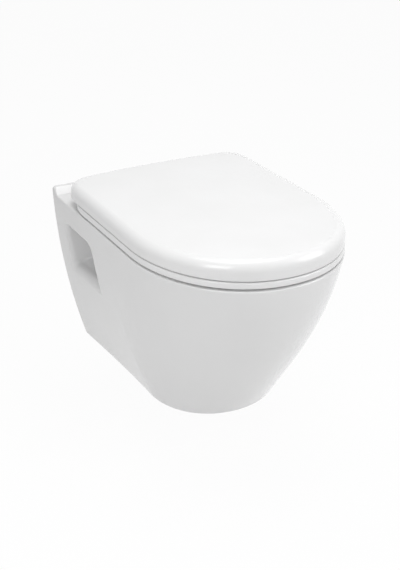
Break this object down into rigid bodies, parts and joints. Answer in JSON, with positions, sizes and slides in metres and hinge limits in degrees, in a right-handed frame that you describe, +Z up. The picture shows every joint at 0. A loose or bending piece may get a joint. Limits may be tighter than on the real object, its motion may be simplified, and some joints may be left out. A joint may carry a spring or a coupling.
{
  "type": "wall hung toilet",
  "caption": "Wall-mounted ceramic toilet pan with tapered body, side fixing pockets, hinged seat ring and hinged crowned lid.",
  "frame": {"origin": "on the wall face, midway between the two wall studs, 80 mm below the top of the rim", "axes": "+Y into the wall, -Y to the front of the toilet, X across it, +Z up"},
  "size_m": [0.355, 0.532, 0.3515],
  "materials": {
    "vitreous_china": "smooth glossy white glaze",
    "seat_plastic": "glossy white moulded plastic",
    "buffer_rubber": "soft pale grey rubber",
    "nylon": "matt off-white nylon",
    "stainless_steel": "satin stainless steel",
    "cap_plastic": "glossy white plastic"
  },
  "bodies": {
    "pan_body": {"pan": "vitreous_china", "hinge_post_left": "stainless_steel", "hinge_post_right": "stainless_steel", "hinge_pin_left": "stainless_steel", "hinge_pin_right": "stainless_steel", "hinge_gasket_left": "buffer_rubber", "hinge_gasket_right": "buffer_rubber", "hinge_stud_left": "stainless_steel", "hinge_stud_right": "stainless_steel", "deck_bush_left": "nylon", "deck_bush_right": "nylon", "wing_nut_left": "nylon", "wing_nut_right": "nylon", "wall_sleeve_left": "nylon", "wall_sleeve_right": "nylon", "wall_washer_left": "nylon", "wall_washer_right": "nylon", "wall_nut_left": "stainless_steel", "wall_nut_right": "stainless_steel", "nut_cap_left": "cap_plastic", "nut_cap_right": "cap_plastic"},
    "seat": {"seat_ring": "seat_plastic", "seat_buffers": "buffer_rubber", "seat_hinge_bushes": "nylon"},
    "cover": {"lid": "seat_plastic", "lid_buffers": "buffer_rubber", "lid_hinge_bushes": "nylon"}
  },
  "joints": [
    {"name": "seat_hinge", "type": "hinge", "parent": "pan_body", "child": "seat", "pos_m": [0, -0.062, 0.114], "axis": [-1, 0, 0], "range_deg": [0, 95]},
    {"name": "lid_hinge", "type": "hinge", "parent": "seat", "child": "cover", "pos_m": [0, -0.062, 0.114], "axis": [-1, 0, 0], "range_deg": [0, 92]}
  ]
}
